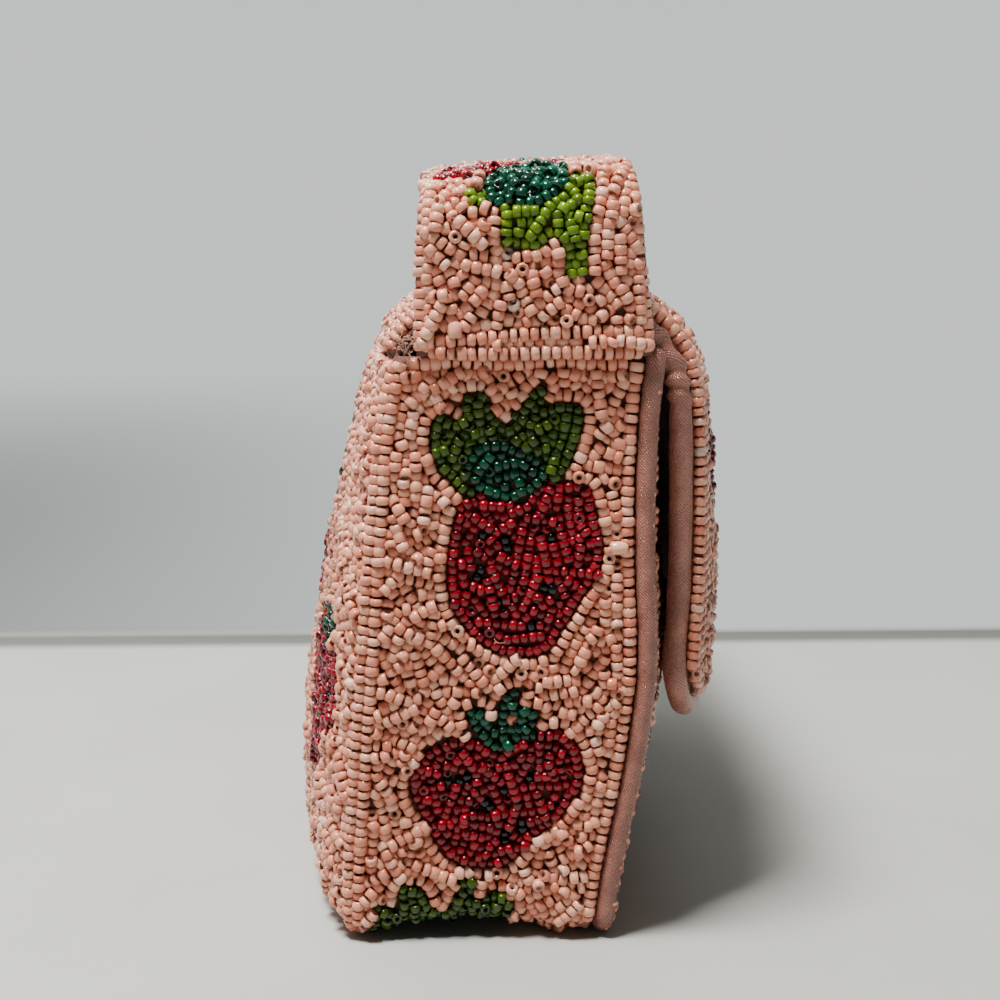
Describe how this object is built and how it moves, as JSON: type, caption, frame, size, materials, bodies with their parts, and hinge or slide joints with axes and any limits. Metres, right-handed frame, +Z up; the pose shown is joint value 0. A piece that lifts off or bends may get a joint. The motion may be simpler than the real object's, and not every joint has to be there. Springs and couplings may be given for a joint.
{
  "type": "beaded shoulder bag",
  "caption": "Padded flap bag covered in seed beads, with satin piping, a magnetic snap and a wide beaded strap folded on top.",
  "frame": {"origin": "middle of the bag's box, on the surface that it stands on", "axes": "+X along the bag, -Y to the side where the flap hangs, +Z up"},
  "size_m": [0.2212, 0.12, 0.1964],
  "materials": {
    "beaded_cloth": "glossy glass seed beads sewn on pink cloth",
    "satin": "satin twill",
    "lining": "satin",
    "snap_silver": "polished nickel",
    "snap_dark": "dark nickel"
  },
  "bodies": {
    "root": {"gusset": "beaded_cloth", "back_panel": "beaded_cloth", "front_panel": "beaded_cloth", "flap": "beaded_cloth", "strap": "beaded_cloth", "front_piping": "satin", "flap_piping": "satin", "flap_lining": "lining", "snap_stud": "snap_silver", "snap_socket": "snap_dark"}
  },
  "joints": []
}
